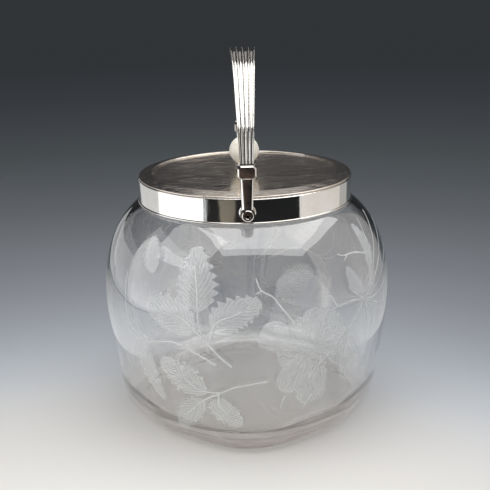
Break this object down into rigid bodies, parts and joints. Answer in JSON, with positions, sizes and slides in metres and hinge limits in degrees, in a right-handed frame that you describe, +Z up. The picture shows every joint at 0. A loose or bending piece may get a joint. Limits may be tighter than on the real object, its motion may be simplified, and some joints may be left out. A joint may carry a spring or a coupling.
{
  "type": "biscuit barrel",
  "caption": "Rounded glass jar with four soft ridges, a plated collar, a flat lift-off lid with a turned knob, and a reeded swing handle on two side pivots.",
  "frame": {"origin": "centre of the base, on the surface that the jar stands on", "axes": "+Z up through the jar; +Y along the handle's pivot line, with the pictured front pivot at -Y; the handle swings in the XZ plane"},
  "size_m": [0.153, 0.153, 0.193],
  "materials": {
    "clear_glass": "blown, fire polished, with matt-etched sprays of leaves and blossom",
    "silver_plate": "polished silver plate with fine wear scratches",
    "plaster": "set plaster of Paris, hidden under the collar",
    "bone": "cream bone-like knob, smooth, slightly worn",
    "brass": "plain turned brass under the lid"
  },
  "bodies": {
    "jar": {"glass_jar": "clear_glass", "plaster_bed": "plaster", "collar": "silver_plate", "front_pivot_boss": "silver_plate", "rear_pivot_boss": "silver_plate", "front_pivot_screw": "silver_plate", "rear_pivot_screw": "silver_plate"},
    "handle": {"front_handle_end": "silver_plate", "rear_handle_end": "silver_plate", "handle_bow": "silver_plate"},
    "lid": {"lid_plate": "silver_plate", "lid_flange": "silver_plate", "finial_seat": "silver_plate", "finial_knob": "bone", "finial_stud": "brass", "finial_washer": "brass", "finial_nut": "brass"}
  },
  "joints": [
    {"name": "handle_swing", "type": "hinge", "parent": "jar", "child": "handle", "pos_m": [0, 0, 0.1219], "axis": [0, 1, 0], "range_deg": [-98, 98]},
    {"name": "lid_lift", "type": "slide", "parent": "jar", "child": "lid", "axis": [0, 0, 1], "range_m": [0, 0.026]}
  ]
}
